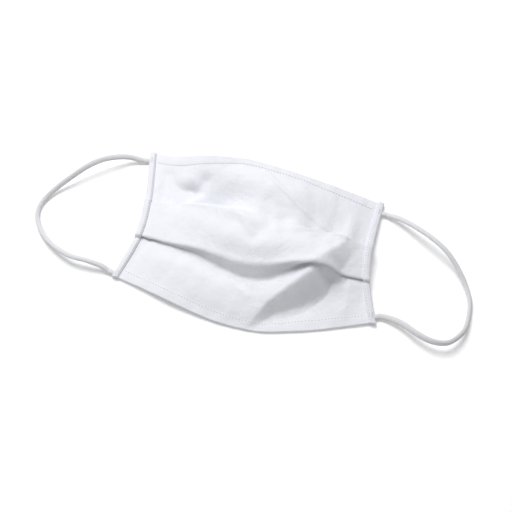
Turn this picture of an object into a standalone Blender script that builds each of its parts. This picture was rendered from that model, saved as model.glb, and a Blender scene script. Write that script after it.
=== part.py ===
"""Pleated cloth face mask, lying outer face up on a table.

The cloth is one wall folded into a box pleat: going from the top hem to the bottom hem, it runs down under
the centre panel, turns back up, forms the centre panel, and turns under again before the lower panel.
At both sides the three layers lie flat on each other inside a folded strip. In the middle they are pulled
open into a dome for nose, mouth and chin. A soft elastic loop leaves each side near its two corners.

X runs along the mask, +Y points to its top hem and +Z up from the table.
"""

import math

import bmesh
import bpy
import numpy as np

# Driving sizes, in metres
MASK_WIDTH = 0.172
SIDE_HEIGHT = 0.095
CROWN_HEIGHT = 0.025
CLOTH_WALL = 0.001
PIECE_GAP = 0.0003
PLEAT_DEPTH = 0.0105
PLEAT_CLEARANCE = 0.002
HEM_WIDTH = 0.0055
HEM_WALL = 0.0014
STRIP_WIDTH = 0.0048
STRIP_WALL = 0.001
UPPER_BULGE = 0.003
CENTRE_BULGE = 0.002
LOWER_BULGE = 0.0015
LOOP_WIDTH = 0.0038

# How round the two folds of the centre panel are where the pleat is open, as shares of PLEAT_DEPTH
UPPER_FOLD_ROUND = 0.38
LOWER_FOLD_ROUND = 0.19
# How much a fold's round leans towards the outer face
FOLD_LEAN = 0.15
# Share of the width at either side where dents fade out
CREASE_FADE = 0.12
# How a flank falls, as shares of its width: where it turns down, eases off and levels out, and the slope at its foot
FLANK_TURN = (-0.08, 0.12)
FLANK_EASE = (0.42, 0.72)
FLANK_LEVEL = (0.90, 1.20)
FOOT_SLOPE = 0.25
# Share of the lower panel's height where it has taken on its own fall
CHIN_BLEND = 0.35

# Layers of cloth at the sides, one pitch apart, counted from the lowest
PITCH = CLOTH_WALL + PIECE_GAP
PANEL_HEIGHT = 2 * PLEAT_DEPTH + PITCH + CLOTH_WALL + PLEAT_CLEARANCE

# Outer edges of the two strips: how far up the side, and X as a share of MASK_WIDTH
SIDE_COLUMNS = ("up", "left", "right")
SIDES = (
    (0.00, -0.492, 0.508),
    (0.33, -0.456, 0.453),
    (0.60, -0.464, 0.430),
    (1.00, -0.508, 0.449),
)

# Sections across the mask, from the left strip (0) to the right strip (1). Places are shares of SIDE_HEIGHT,
# panel is the centre panel's height as a share of PANEL_HEIGHT, a lift is a share of CROWN_HEIGHT above the
# flat layers, and an opening is in degrees: 0 is a return that lies flat under the panel, 90 hangs straight down.
# On the right the lifts stay high, because the dome's flanks take them down. A depth is a share of PLEAT_DEPTH,
# and the chin's hold says how far the lower panel keeps its height before it falls: 0 is an even slope.
SECTION_COLUMNS = (
    "across",
    "top",
    "top_lift",
    "middle",
    "panel",
    "upper_lift",
    "upper_open",
    "upper_depth",
    "lower_lift",
    "lower_open",
    "lower_depth",
    "chin_hold",
    "bottom",
    "bottom_lift",
)
SECTIONS = (
    (0.00, 0.617, 0.00, 0.052, 1.00, 0.00, 0, 1.00, 0.00, 0, 1.00, 0.0, -0.433, 0.00),
    (0.10, 0.613, 0.15, 0.043, 1.07, 0.15, 12, 1.00, 0.10, 130, 0.30, 0.0, -0.476, 0.05),
    (0.25, 0.605, 0.54, 0.028, 1.16, 0.37, 80, 1.00, 0.28, 128, 0.52, 0.0, -0.546, 0.08),
    (0.40, 0.598, 0.68, -0.020, 1.18, 0.60, 150, 1.00, 0.41, 130, 0.85, 0.0, -0.597, 0.02),
    (0.50, 0.592, 0.66, -0.057, 1.10, 0.74, 165, 1.00, 0.52, 130, 1.00, 0.0, -0.611, -0.02),
    (0.60, 0.586, 0.58, -0.057, 1.04, 0.79, 165, 0.90, 0.63, 128, 0.97, 0.3, -0.606, -0.03),
    (0.70, 0.581, 0.46, -0.025, 1.00, 0.74, 160, 0.60, 0.76, 112, 0.62, 0.8, -0.566, -0.03),
    (0.80, 0.575, 0.33, -0.004, 0.97, 0.60, 100, 0.25, 0.83, 60, 0.15, 1.0, -0.516, -0.03),
    (0.90, 0.568, 0.15, 0.000, 0.97, 0.45, 15, 0.50, 0.83, 12, 0.40, 1.0, -0.453, -0.02),
    (1.00, 0.560, 0.00, 0.018, 0.98, 0.36, 0, 1.00, 0.83, 0, 1.00, 1.0, -0.388, 0.00),
)

# Edges of the dome's right flank and of the steeper one beside the chin, from the bottom up: X and width as shares
# of MASK_WIDTH, Y as a share of SIDE_HEIGHT, and the share of the lift that is left at the foot
FLANK_COLUMNS = ("x", "y", "width", "foot")
CENTRE_FLANK = (
    (0.174, -0.421, 0.128, 0.02),
    (0.258, -0.145, 0.128, 0.02),
    (0.290, -0.019, 0.116, 0.15),
    (0.334, 0.111, 0.076, 0.55),
    (0.372, 0.316, 0.070, 0.60),
)
LOWER_FLANK = (
    (0.041, -0.632, 0.029, 0.0),
    (0.058, -0.561, 0.035, 0.0),
    (0.103, -0.421, 0.070, 0.0),
    (0.169, -0.300, 0.105, 0.0),
    (0.233, -0.186, 0.140, 0.0),
    (0.258, -0.053, 0.140, 0.0),
)

# Dents pressed into the cloth: from and to as shares of MASK_WIDTH and SIDE_HEIGHT, half width as a share of
# MASK_WIDTH, height as a share of CROWN_HEIGHT
CREASE_COLUMNS = ("from_x", "from_y", "to_x", "to_y", "half_width", "height")
CREASES = (
    (0.300, 0.110, 0.140, 0.260, 0.018, -0.04),
    (0.140, 0.260, -0.040, 0.480, 0.024, -0.05),
    (-0.410, 0.400, -0.330, 0.345, 0.038, -0.08),
    (-0.330, 0.345, -0.260, 0.350, 0.038, -0.10),
    (-0.260, 0.350, -0.245, 0.480, 0.030, -0.08),
    (0.000, -0.030, 0.050, 0.100, 0.040, -0.06),
)

# Routes of the ear loops from the upper corner to the lower one: outwards from half of MASK_WIDTH, Y and Z, in metres
LEFT_ROUTE = (
    (0.0130, 0.0500, 0.0050),
    (0.0215, 0.0460, 0.0080),
    (0.0300, 0.0405, 0.0095),
    (0.0385, 0.0330, 0.0090),
    (0.0475, 0.0235, 0.0062),
    (0.0555, 0.0140, 0.0034),
    (0.0606, 0.0040, 0.0020),
    (0.0611, -0.0055, 0.0020),
    (0.0570, -0.0145, 0.0020),
    (0.0460, -0.0260, 0.0035),
    (0.0300, -0.0340, 0.0060),
    (0.0165, -0.0355, 0.0062),
    (0.0072, -0.0360, 0.0042),
)
RIGHT_ROUTE = (
    (0.0050, 0.0415, 0.0055),
    (0.0180, 0.0340, 0.0090),
    (0.0300, 0.0265, 0.0100),
    (0.0388, 0.0200, 0.0085),
    (0.0465, 0.0120, 0.0052),
    (0.0525, 0.0030, 0.0026),
    (0.0565, -0.0075, 0.0020),
    (0.0570, -0.0185, 0.0024),
    (0.0554, -0.0290, 0.0042),
    (0.0510, -0.0370, 0.0060),
    (0.0450, -0.0422, 0.0070),
    (0.0362, -0.0430, 0.0074),
    (0.0272, -0.0398, 0.0068),
    (0.0178, -0.0345, 0.0052),
    (0.0098, -0.0315, 0.0034),
)
# Where the loops leave the sides, as shares of the side from its lower corner
LOOP_ENDS = {"left": (0.935, 0.030), "right": (0.913, 0.057)}
LOOP_STEP = 0.006

# Mesh density
COLUMNS = 34
PANEL_ROWS = {"upper": 11, "centre": 8, "lower": 12}
RETURN_ROWS = 4
BEND_ROWS = 4
STRIP_STATIONS = 26
# Roundness of the strip's edges and length of its steps, as shares of STRIP_WALL
STRIP_CORNER = 0.6
STRIP_STEP = 0.4
ROUTE_STEPS = 20
FLANK_STEPS = 200


def smooth_step(value):
    value = min(max(value, 0.0), 1.0)
    return value * value * (3 - 2 * value)


def read_table(rows, columns, at):
    """The table's row at a place between its rows, on a smooth curve through each column."""
    places = [row[0] for row in rows]
    k = min(max(int(np.searchsorted(places, at)) - 1, 0), len(rows) - 2)
    values = np.array([rows[min(max(k + i, 0), len(rows) - 1)] for i in (-1, 0, 1, 2)], float)
    width = values[2, 0] - values[1, 0]
    slope_in = (values[2] - values[0]) / max(values[2, 0] - values[0, 0], 1e-9) * width
    slope_out = (values[3] - values[1]) / max(values[3, 0] - values[1, 0], 1e-9) * width
    t = (at - values[1, 0]) / width
    read = (
        (2 * t**3 - 3 * t**2 + 1) * values[1]
        + (t**3 - 2 * t**2 + t) * slope_in
        + (3 * t**2 - 2 * t**3) * values[2]
        + (t**3 - t**2) * slope_out
    )
    return dict(zip(columns, read))


def unit(vector):
    return vector / max(np.linalg.norm(vector), 1e-12)


def level(layer):
    """Height of the middle of a layer of cloth at the sides."""
    return STRIP_WALL + PIECE_GAP + CLOTH_WALL / 2 + (layer - 1) * PITCH


def near_line(line, x, y):
    """A place's distance from a line of points, right of it positive, and the line's other values there."""
    nearest, values = math.inf, None
    place = np.array([x, y])
    for a, b in zip(line, line[1:]):
        way = b[:2] - a[:2]
        t = min(max(float((place - a[:2]) @ way) / float(way @ way), 0.0), 1.0)
        away = place - a[:2] - t * way
        gap = float(np.linalg.norm(away))
        if gap < abs(nearest):
            left_of_it = way[0] * away[1] > way[1] * away[0]
            nearest = -gap if left_of_it else gap
            values = a[2:] + t * (b[2:] - a[2:])
    return nearest, values


def step_over(places, at):
    """Goes from 0 to 1 between two places."""
    return smooth_step((at - places[0]) / (places[1] - places[0]))


def fall_line():
    """Places across a flank as shares of its width, and the share of the height that is left at each."""
    places = np.linspace(FLANK_TURN[0], FLANK_LEVEL[1], FLANK_STEPS)
    slopes = [
        step_over(FLANK_TURN, at)
        * (1 - (1 - FOOT_SLOPE) * step_over(FLANK_EASE, at))
        * (1 - step_over(FLANK_LEVEL, at))
        for at in places
    ]
    return places, 1 - np.cumsum(slopes) / np.sum(slopes)


FALL_PLACES, FALL_SHARES = fall_line()


def flank_share(flank, x, y):
    """1 on the dome, falling past the flank's edge to the share left at its foot."""
    line = np.array(flank) * (MASK_WIDTH, SIDE_HEIGHT, MASK_WIDTH, 1.0)
    away, (width, foot) = near_line(line, x, y)
    return foot + (1 - foot) * float(np.interp(away / width, FALL_PLACES, FALL_SHARES))


def side_x(side, up):
    return read_table(SIDES, SIDE_COLUMNS, up)[side] * MASK_WIDTH


def cloth_x(row, y):
    """X of the cloth between the strips in one section, at a place from its bottom to its top."""
    up = (y / SIDE_HEIGHT - row["bottom"]) / (row["top"] - row["bottom"])
    left = side_x("left", up) + STRIP_WIDTH + PIECE_GAP
    right = side_x("right", up) - STRIP_WIDTH - PIECE_GAP
    return left + row["across"] * (right - left)


def crown_height(row, y):
    """Height of the centre panel in one section, straight between its folds and taken down by the flank."""
    half_panel = row["panel"] * PANEL_HEIGHT / 2
    middle = row["middle"] * SIDE_HEIGHT
    folds = (middle - half_panel, middle + half_panel)
    lift = float(np.interp(y, folds, (row["lower_lift"], row["upper_lift"]))) * CROWN_HEIGHT
    return level(2.5) + lift * flank_share(CENTRE_FLANK, cloth_x(row, y), y)


def fold_points(row):
    """The section's ends and folds as (y, z) from the top hem to the bottom hem, each fold's half width, and the
    height that the lower panel starts from before its flank takes it down."""
    upper_open, lower_open = math.radians(row["upper_open"]), math.radians(row["lower_open"])
    half_panel = row["panel"] * PANEL_HEIGHT / 2
    middle = row["middle"] * SIDE_HEIGHT

    def hung(y, opening, way, depth):
        drop = depth * math.sin(opening) + PITCH * max(math.cos(opening), 0.0)
        return y + way * depth * math.cos(opening), drop

    top = np.array([row["top"] * SIDE_HEIGHT, level(1) + row["top_lift"] * CROWN_HEIGHT])
    bottom = np.array([row["bottom"] * SIDE_HEIGHT, level(1) + row["bottom_lift"] * CROWN_HEIGHT])
    upper = np.array([middle + half_panel, crown_height(row, middle + half_panel)])
    lower = np.array([middle - half_panel, crown_height(row, middle - half_panel)])
    y, drop = hung(upper[0], upper_open, -1, PLEAT_DEPTH * row["upper_depth"])
    upper_hung = np.array([y, max(min(upper[1], crown_height(row, y)) - drop, level(1.5))])
    y, drop = hung(lower[0], lower_open, 1, PLEAT_DEPTH * row["lower_depth"])
    chin_lift = max(level(2.5) + row["lower_lift"] * CROWN_HEIGHT - drop - level(1), 0.0)
    chin = level(1) + chin_lift * flank_share(LOWER_FLANK, cloth_x(row, y), y)
    lower_hung = np.array([y, max(min(crown_height(row, y) - drop, chin), level(1.5))])
    points = [top, upper_hung, upper, lower, lower_hung, bottom]

    def half_width(opening, roundness):
        return PITCH / 2 + (roundness * PLEAT_DEPTH - PITCH / 2) * math.sin(opening / 2) ** 2

    halves = [half_width(upper_open, UPPER_FOLD_ROUND)] * 2
    halves += [half_width(lower_open, LOWER_FOLD_ROUND)] * 2
    return points, halves, chin_lift


def bend(start, start_way, end, end_way, rows):
    """Points strictly between two panels, round the fold that joins them."""
    turn = 1 - float(start_way @ end_way)
    handle = np.linalg.norm(end - start) * (1 + turn / 2) / 3
    a, b = start + start_way * handle, end - end_way * handle
    shares = [(i + 1) / (rows + 1) for i in range(rows)]
    return [
        (1 - t) ** 3 * start + 3 * (1 - t) ** 2 * t * a + 3 * (1 - t) * t**2 * b + t**3 * end
        for t in shares
    ]


def panel_shares(name, length):
    """Where a panel has its rows. The two outer panels have one on each side of the hem's stitching."""
    rows = PANEL_ROWS[name]
    if name == "centre":
        return [i / rows for i in range(rows + 1)]
    hem, edge = HEM_WIDTH / length, HEM_WALL / 2 / length
    shares = [0.0, hem, hem + edge]
    shares += [hem + edge + (1 - hem - edge) * (i + 1) / (rows - 2) for i in range(rows - 2)]
    return shares if name == "upper" else [1 - s for s in reversed(shares)]


def lower_height(row, y, share, ends, chin_lift, bulge):
    """Height of the lower panel: it keeps its height as the chin's hold says, and falls with its flank."""
    kept = 1 - share ** (1 + 2 * row["chin_hold"])
    start, end = ends
    rise = max(chin_lift, start - end)
    fall = (rise * kept + bulge) * flank_share(LOWER_FLANK, cloth_x(row, y), y)
    blend = smooth_step(share / CHIN_BLEND)
    return end + fall * blend + (1 - blend) * (start - end) * kept


def section(across):
    """One cut through the mask from top to bottom: a list of (y, z, panel's name, share along the panel)."""
    row = read_table(SECTIONS, SECTION_COLUMNS, across)
    points, halves, chin_lift = fold_points(row)
    ways = [unit(b - a) for a, b in zip(points, points[1:])]
    rise = math.sin(math.pi * min(max(across, 0.0), 1.0)) ** 2
    bulges = {"upper": UPPER_BULGE * rise, "centre": CENTRE_BULGE * rise, "lower": LOWER_BULGE * rise}
    names = ("upper", "return", "centre", "return", "lower")

    starts, ends = [points[0]], []
    for k, (half, turn_up) in enumerate(zip(halves, (1, 1, -1, -1))):
        chord = unit(ways[k] + ways[k + 1] + np.array([0.0, FOLD_LEAN * turn_up]))
        ends.append(points[k + 1] - half * chord)
        starts.append(points[k + 1] + half * chord)
    ends.append(points[-1])

    cut = []
    for k, name in enumerate(names):
        start, end = starts[k], ends[k]
        length = np.linalg.norm(end - start)
        way = unit(end - start)
        upwards = np.array([way[1], -way[0]])
        if name == "return":
            shares = [i / RETURN_ROWS for i in range(RETURN_ROWS + 1)]
        else:
            shares = panel_shares(name, length)
        for s in shares:
            bulge = bulges.get(name, 0.0) * math.sin(math.pi * s) ** 2
            y, z = start + s * (end - start) + upwards * bulge
            if name == "centre":
                straight = crown_height(row, start[0]) * (1 - s) + crown_height(row, end[0]) * s
                z += crown_height(row, y) - straight
            if name == "lower":
                z = lower_height(row, y, s, (start[1], end[1]), chin_lift, bulge)
            cut.append((y, z, name, s))
        if k < len(names) - 1:
            end_way, next_way = way, unit(ends[k + 1] - starts[k + 1])
            for y, z in bend(end, end_way, starts[k + 1], next_way, BEND_ROWS):
                cut.append((y, z, "bend", 0.0))
    return cut


def crease_height(x, y):
    """How far the dents lower the cloth at a place."""
    total = 0.0
    place = np.array([x, y])
    for row in CREASES:
        crease = dict(zip(CREASE_COLUMNS, row))
        a = np.array([crease["from_x"] * MASK_WIDTH, crease["from_y"] * SIDE_HEIGHT])
        b = np.array([crease["to_x"] * MASK_WIDTH, crease["to_y"] * SIDE_HEIGHT])
        along = min(max(float((place - a) @ (b - a)) / float((b - a) @ (b - a)), 0.0), 1.0)
        away = np.linalg.norm(place - a - along * (b - a)) / (crease["half_width"] * MASK_WIDTH)
        total += crease["height"] * CROWN_HEIGHT * math.exp(-(away**2))
    return total


def on_table(z):
    """Keeps the middle of the wall above the table, levelling off softly as the cloth comes near it."""
    lowest, soft = HEM_WALL / 2 + PIECE_GAP, CLOTH_WALL / 2
    near = (z - lowest) / soft
    return lowest + soft * (math.log1p(math.exp(near)) if near < 30 else near)


def cloth_columns():
    """Where the cloth has its columns: (share across, how far it runs on under a strip, in metres)."""
    under = STRIP_WIDTH - STRIP_WALL
    inner = [(i / COLUMNS, 0.0) for i in range(COLUMNS + 1)]
    return [(0.0, -under)] + inner + [(1.0, under)]


def cloth_point(across, under, cut_point):
    row = read_table(SECTIONS, SECTION_COLUMNS, across)
    y, z = cut_point[:2]
    x = cloth_x(row, y) + under
    fade = smooth_step(across / CREASE_FADE) * smooth_step((1 - across) / CREASE_FADE)
    return x, y, on_table(z + fade * crease_height(x, y))


def new_object(name, mesh, material):
    item = bpy.data.objects.new(name, mesh)
    bpy.context.scene.collection.objects.link(item)
    mesh.materials.append(material)
    return item


def make_material(name, colour, roughness):
    material = bpy.data.materials.new(name)
    material.use_nodes = True
    shader = material.node_tree.nodes["Principled BSDF"]
    shader.inputs["Base Color"].default_value = (*colour, 1.0)
    shader.inputs["Roughness"].default_value = roughness
    shader.inputs["Metallic"].default_value = 0.0
    return material


def grid_mesh(name, points):
    """A sheet through rows of points, made from a plain grid whose vertices move to their places."""
    rows, columns = len(points), len(points[0])
    shell = bmesh.new()
    bmesh.ops.create_grid(shell, x_segments=columns - 1, y_segments=rows - 1, size=1.0)
    shell.verts.ensure_lookup_table()
    for i in range(rows):
        for j in range(columns):
            shell.verts[i * columns + j].co = points[i][j]
    mesh = bpy.data.meshes.new(name)
    shell.to_mesh(mesh)
    shell.free()
    mesh.shade_smooth()
    return mesh


def add_wall(item, thickness, thin_share=1.0, group=""):
    wall = item.modifiers.new("Wall", "SOLIDIFY")
    wall.thickness = thickness
    wall.offset = 0.0
    wall.use_rim = True
    if group:
        wall.vertex_group = group
        wall.thickness_vertex_group = thin_share
    return wall


def make_body(material):
    columns = cloth_columns()
    cuts = [section(across) for across, _ in columns]
    points = [
        [cloth_point(*columns[j], cuts[j][i]) for j in range(len(columns))]
        for i in range(len(cuts[0]))
    ]
    item = new_object("mask_body", grid_mesh("mask_body", points), material)
    hem = item.vertex_groups.new(name="Hem")
    rows = len(points)
    hem_vertices = [
        i * len(columns) + j for i in (0, 1, rows - 2, rows - 1) for j in range(len(columns))
    ]
    hem.add(hem_vertices, 1.0, "ADD")
    add_wall(item, HEM_WALL, CLOTH_WALL / HEM_WALL, hem.name)
    return item


def strip_heights(cut, y):
    """Heights of the middle of the strip's wall under and over the pleated end, at a place along it."""
    lower_face = [(p[0], p[1]) for p in cut if p[2] in ("upper", "lower")]
    panel = [(p[0], p[1]) for p in cut if p[2] == "centre"]
    reach = CLOTH_WALL / 2 + PIECE_GAP + STRIP_WALL / 2
    lower_face.reverse()
    panel.reverse()
    over = float(np.interp(y, *zip(*lower_face)))
    step = (cut[0][0] - cut[-1][0]) / STRIP_STATIONS
    base = min(float(np.interp(y + way * step, *zip(*lower_face))) for way in (-1, 0, 1))
    if panel[0][0] - PITCH / 2 - reach <= y <= panel[-1][0] + PITCH / 2 + reach:
        over = float(np.interp(y, *zip(*panel)))
    return base - reach, over + reach


def strip_places(cut):
    """Places along a side where the strip has its stations, two of them close together at each step."""
    low, high = cut[-1][0], cut[0][0]
    panel = [p[0] for p in cut if p[2] == "centre"]
    reach = PITCH / 2 + CLOTH_WALL / 2 + PIECE_GAP + STRIP_WALL / 2
    steps = (min(panel) - reach, max(panel) + reach)
    edge = STRIP_WALL * STRIP_STEP
    places = [low + (high - low) * i / STRIP_STATIONS for i in range(STRIP_STATIONS + 1)]
    places = [p for p in places if all(abs(p - step) > 3 * edge for step in steps)]
    return sorted(places + [step + way * edge for step in steps for way in (-1, 1)])


def make_strip(side, material):
    """A strip of cloth folded round the pleated end, over the top, down the side and back underneath."""
    across, outwards = (0.0, -1) if side == "left" else (1.0, 1)
    cut = section(across)
    low, high = cut[-1][0], cut[0][0]
    corner = STRIP_WALL * STRIP_CORNER
    points = []
    for y in strip_places(cut):
        under, over = strip_heights(cut, y)
        edge = side_x(side, (y - low) / (high - low))
        web = edge - outwards * STRIP_WALL / 2
        inner = edge - outwards * STRIP_WIDTH
        halfway = (web + inner) / 2
        points.append(
            [
                (inner, y, over),
                (halfway, y, over),
                (web - outwards * corner, y, over),
                (web, y, over - corner),
                (web, y, under + corner),
                (web - outwards * corner, y, under),
                (halfway, y, under),
                (inner, y, under),
            ]
        )
    if side == "right":
        points.reverse()
    name = "side_hem_" + side
    item = new_object(name, grid_mesh(name, points), material)
    add_wall(item, STRIP_WALL)
    return item


def smooth_route(points, step):
    """Points about step apart on a smooth curve through the route."""
    points = np.array(points, float)
    padded = np.vstack([2 * points[0] - points[1], points, 2 * points[-1] - points[-2]])
    fine = []
    for k in range(1, len(padded) - 2):
        before, start, end, after = padded[k - 1 : k + 3]
        for i in range(ROUTE_STEPS):
            t = i / ROUTE_STEPS
            fine.append(
                0.5
                * (
                    2 * start
                    + (end - before) * t
                    + (2 * before - 5 * start + 4 * end - after) * t**2
                    + (3 * start - before - 3 * end + after) * t**3
                )
            )
    fine = np.array(fine + [points[-1]])
    along = np.concatenate([[0], np.cumsum(np.linalg.norm(np.diff(fine, axis=0), axis=1))])
    places = np.linspace(0, along[-1], max(2, round(along[-1] / step)) + 1)
    return np.stack([np.interp(places, along, fine[:, k]) for k in range(3)], axis=1)


def loop_end(side, up):
    """The two first points of a loop, leaving the strip's outer face square to it."""
    cut = section(0.0 if side == "left" else 1.0)
    low, high = cut[-1][0], cut[0][0]
    outwards = -1 if side == "left" else 1
    y = low + up * (high - low)
    nearby = 0.01
    slope = (side_x(side, up + nearby) - side_x(side, up - nearby)) / (2 * nearby * (high - low))
    way = unit(np.array([1.0, -slope, 0.0])) * outwards
    start = np.array([side_x(side, up), y, LOOP_WIDTH / 2])
    return start + way * 1.5 * PIECE_GAP, start + way * LOOP_WIDTH


def make_loop(side, route, material):
    outwards = -1 if side == "left" else 1
    upper, lower = (loop_end(side, up) for up in LOOP_ENDS[side])
    middle = [(outwards * (MASK_WIDTH / 2 + out), y, max(z, LOOP_WIDTH / 2)) for out, y, z in route]
    line = smooth_route([*upper, *middle, *reversed(lower)], LOOP_STEP)
    line[:, 2] = np.maximum(line[:, 2], LOOP_WIDTH / 2)
    name = "ear_loop_" + side
    curve = bpy.data.curves.new(name, "CURVE")
    curve.dimensions = "3D"
    curve.bevel_depth = LOOP_WIDTH / 2
    curve.bevel_resolution = 2
    curve.use_fill_caps = True
    spline = curve.splines.new("POLY")
    spline.points.add(len(line) - 1)
    for point, place in zip(spline.points, line):
        point.co = (*place, 1.0)
    return new_object(name, curve, material)


def main():
    for item in list(bpy.data.objects):
        bpy.data.objects.remove(item)
    cotton = make_material("White cotton", (0.87, 0.88, 0.92), 0.9)
    strip_cotton = make_material("White cotton strip", (0.84, 0.85, 0.89), 0.9)
    elastic = make_material("White elastic", (0.80, 0.80, 0.81), 0.75)
    make_body(cotton)
    for side, route in (("left", LEFT_ROUTE), ("right", RIGHT_ROUTE)):
        make_strip(side, strip_cotton)
        make_loop(side, route, elastic)


main()
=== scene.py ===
# %% [markdown]
# # A white cloth face mask, lying on a table
# The mask is one wall of cotton folded into a box pleat and pulled open into a dome, with turned hems along
# its top and bottom, a folded strip down each side and a soft elastic loop at both ends. The solid model
# gives every piece its real size and place. This script gives them their looks: fine folds, stitches,
# ribbed elastic, woven cotton, and the soft light of a product photograph.
# Everything is in metres. X runs along the mask, +Y points to its top hem and +Z up from the table.

# %% Load the solid model
import math

import bmesh
import bpy
import numpy as np
from mathutils import Matrix, Vector


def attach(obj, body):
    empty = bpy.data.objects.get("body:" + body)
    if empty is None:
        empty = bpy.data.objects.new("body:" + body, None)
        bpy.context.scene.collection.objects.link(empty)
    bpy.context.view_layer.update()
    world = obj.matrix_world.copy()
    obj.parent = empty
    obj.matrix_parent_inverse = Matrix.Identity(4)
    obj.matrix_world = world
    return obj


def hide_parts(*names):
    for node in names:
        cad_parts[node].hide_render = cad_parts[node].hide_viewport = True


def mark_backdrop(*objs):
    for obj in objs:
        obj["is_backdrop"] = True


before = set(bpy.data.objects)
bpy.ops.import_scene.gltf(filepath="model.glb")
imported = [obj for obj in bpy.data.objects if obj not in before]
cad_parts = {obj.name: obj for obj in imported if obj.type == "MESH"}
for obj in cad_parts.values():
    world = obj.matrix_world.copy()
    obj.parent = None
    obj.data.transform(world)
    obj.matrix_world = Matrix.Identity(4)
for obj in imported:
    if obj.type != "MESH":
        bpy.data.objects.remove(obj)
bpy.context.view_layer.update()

# %% [markdown]
# ## Camera
# The photograph looks down on the mask at a steep angle, a little from the right. The camera is placed by
# a point that it looks at, two angles and a distance. How large the mask is in the picture gives the lens,
# a long one, which keeps the mask's two ends at nearly the same scale.

# %% Camera
CAMERA_TARGET = Vector((0.0024, -0.0042, 0.0))
CAMERA_AZIMUTH = 13
CAMERA_ELEVATION = 60
CAMERA_DISTANCE = 0.650
CAMERA_LENS = 69.84
CAMERA_SENSOR = 36


def direction(azimuth, elevation):
    """From the target towards a camera or a lamp. Azimuth 0 is the near side, and 90 the right."""
    a, e = math.radians(azimuth), math.radians(elevation)
    return Vector((math.sin(a) * math.cos(e), -math.cos(a) * math.cos(e), math.sin(e)))


def aim(item, place, target):
    item.location = place
    item.rotation_mode = "QUATERNION"
    item.rotation_quaternion = (place - target).to_track_quat("Z", "Y")
    bpy.context.scene.collection.objects.link(item)


camera = bpy.data.objects.new("camera", bpy.data.cameras.new("camera"))
camera.data.lens = CAMERA_LENS
camera.data.sensor_width = CAMERA_SENSOR
aim(camera, CAMERA_TARGET + CAMERA_DISTANCE * direction(CAMERA_AZIMUTH, CAMERA_ELEVATION), CAMERA_TARGET)
bpy.context.scene.camera = camera
print("camera at", [round(value, 3) for value in camera.location])

# %% [markdown]
# ## Sizes and tables
# A sewn thing is easiest to describe as its maker would: how wide the cloth is, how deep the pleat, how
# far in the stitches run. Nearly all the sizes below are the solid model's. What changes from place to
# place is in short tables: a row says what one cut through the mask looks like, and a smooth curve
# through the rows gives the cuts between.

# %% Sizes
MASK_WIDTH = 0.172
SIDE_HEIGHT = 0.095
CROWN_HEIGHT = 0.025
CLOTH_WALL = 0.001
HEM_WALL = 0.0014
HEM_WIDTH = 0.0055
TOP_HEM_WIDTH = 0.0042
PIECE_GAP = 0.0003
PLEAT_DEPTH = 0.0105
PLEAT_CLEARANCE = 0.002
STRIP_WIDTH = 0.0048
STRIP_WALL = 0.001
LOOP_WIDTH = 0.0038
STITCH_PITCH = 0.0021
LAYER_PITCH = CLOTH_WALL + PIECE_GAP
PANEL_HEIGHT = 2 * PLEAT_DEPTH + LAYER_PITCH + CLOTH_WALL + PLEAT_CLEARANCE

# The sign of X towards the outside
OUTWARDS = {"left": -1, "right": 1}
# Outer edges of the two sides: how far up the side, and X as a share of MASK_WIDTH
SIDE_COLUMNS = ("up", "left", "right")
SIDES = (
    (0.00, -0.492, 0.508),
    (0.33, -0.456, 0.453),
    (0.60, -0.464, 0.443),
    (1.00, -0.508, 0.4525),
)

# Cuts across the mask from the left side (0) to the right side (1). Places are shares of SIDE_HEIGHT,
# panel is the centre panel's height as a share of PANEL_HEIGHT, and a lift is a share of CROWN_HEIGHT
# above the flat layers. An opening is how far the pleat's return has swung out, in degrees, a depth is a
# share of PLEAT_DEPTH, and chin_hold says how long the lower panel keeps its height. On the right the
# lifts stay high, because the dome's right flank, which has rows of its own further down, brings the
# cloth down there.
SECTION_COLUMNS = (
    *("across", "top", "top_lift", "middle", "panel", "upper_lift", "upper_open", "upper_depth"),
    *("lower_lift", "lower_open", "lower_depth", "chin_hold", "bottom", "bottom_lift"),
)
SECTIONS = (
    (0.00, 0.617, 0.00, 0.052, 1.00, 0.00, 0, 1.00, 0.00, 0, 0.30, 0.0, -0.433, 0.00),
    (0.04, 0.616, 0.03, 0.049, 1.02, 0.03, 5, 1.00, 0.04, 70, 0.17, 0.0, -0.450, 0.02),
    (0.10, 0.613, 0.09, 0.043, 1.07, 0.10, 12, 1.00, 0.10, 132, 0.27, 0.0, -0.476, 0.05),
    (0.25, 0.605, 0.50, 0.028, 1.16, 0.34, 80, 1.00, 0.28, 128, 0.52, 0.0, -0.546, 0.08),
    (0.40, 0.598, 0.68, -0.020, 1.18, 0.60, 150, 1.00, 0.41, 130, 0.85, 0.0, -0.597, 0.02),
    (0.50, 0.592, 0.66, -0.057, 1.10, 0.74, 165, 1.00, 0.52, 130, 1.00, 0.0, -0.611, -0.02),
    (0.60, 0.586, 0.58, -0.057, 1.04, 0.79, 165, 0.90, 0.63, 128, 0.97, 0.3, -0.606, -0.03),
    (0.70, 0.581, 0.46, -0.025, 1.00, 0.70, 160, 0.60, 0.76, 112, 0.62, 0.8, -0.566, -0.03),
    (0.80, 0.575, 0.33, 0.002, 0.97, 0.52, 100, 0.25, 0.83, 60, 0.15, 1.0, -0.516, -0.03),
    (0.90, 0.568, 0.15, 0.015, 0.935, 0.44, 15, 0.50, 0.78, 70, 0.10, 1.0, -0.453, -0.02),
    (1.00, 0.560, 0.00, 0.027, 0.86, 0.32, 0, 1.00, 0.22, 70, 0.08, 1.0, -0.388, 0.00),
)


def smooth_step(value):
    """0 below 0, 1 above 1, and a soft rise between."""
    value = np.clip(value, 0.0, 1.0)
    return value * value * (3 - 2 * value)


def unit(vector):
    return vector / max(np.linalg.norm(vector), 1e-12)


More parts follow.
